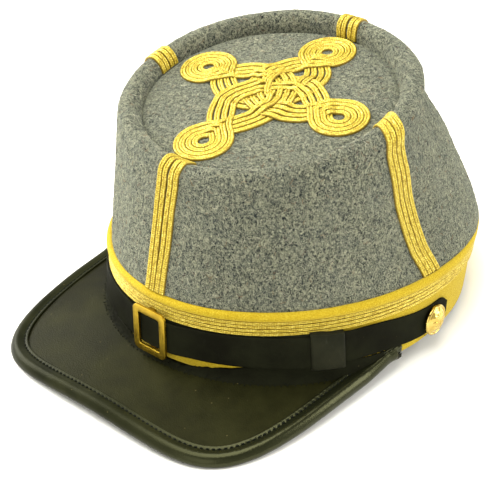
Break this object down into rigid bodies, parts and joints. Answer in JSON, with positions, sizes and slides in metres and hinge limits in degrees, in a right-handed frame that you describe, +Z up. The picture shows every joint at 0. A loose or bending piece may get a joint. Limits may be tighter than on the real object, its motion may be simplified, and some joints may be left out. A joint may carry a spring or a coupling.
{
  "type": "kepi cap",
  "caption": "Officer's kepi: grey wool crown with a sunken top, gold flat braid and knot, yellow felt band, bound leather visor, and a buckled chin strap on brass buttons.",
  "frame": {"origin": "on the surface that the hat rests on, under the middle of its overall box", "axes": "+X to the wearer's left, -Y to the front of the hat, +Z up from the resting surface"},
  "size_m": [0.1924, 0.2434, 0.1341],
  "materials": {
    "grey_wool": "felted heather wool",
    "yellow_felt": "felt",
    "gold_braid": "metallic braid",
    "black_leather": "satin leather",
    "strap_leather": "matte leather",
    "brass": "polished"
  },
  "bodies": {
    "root": {"crown_side": "grey_wool", "crown_top": "grey_wool", "band": "yellow_felt", "band_braid": "gold_braid", "braid_front": "gold_braid", "braid_left": "gold_braid", "braid_back": "gold_braid", "braid_right": "gold_braid", "top_knot": "gold_braid", "visor": "black_leather", "visor_binding": "black_leather", "chin_strap_left": "strap_leather", "chin_strap_right": "strap_leather", "strap_keeper": "strap_leather", "buckle": "brass", "button_left": "brass", "button_right": "brass"}
  },
  "joints": []
}
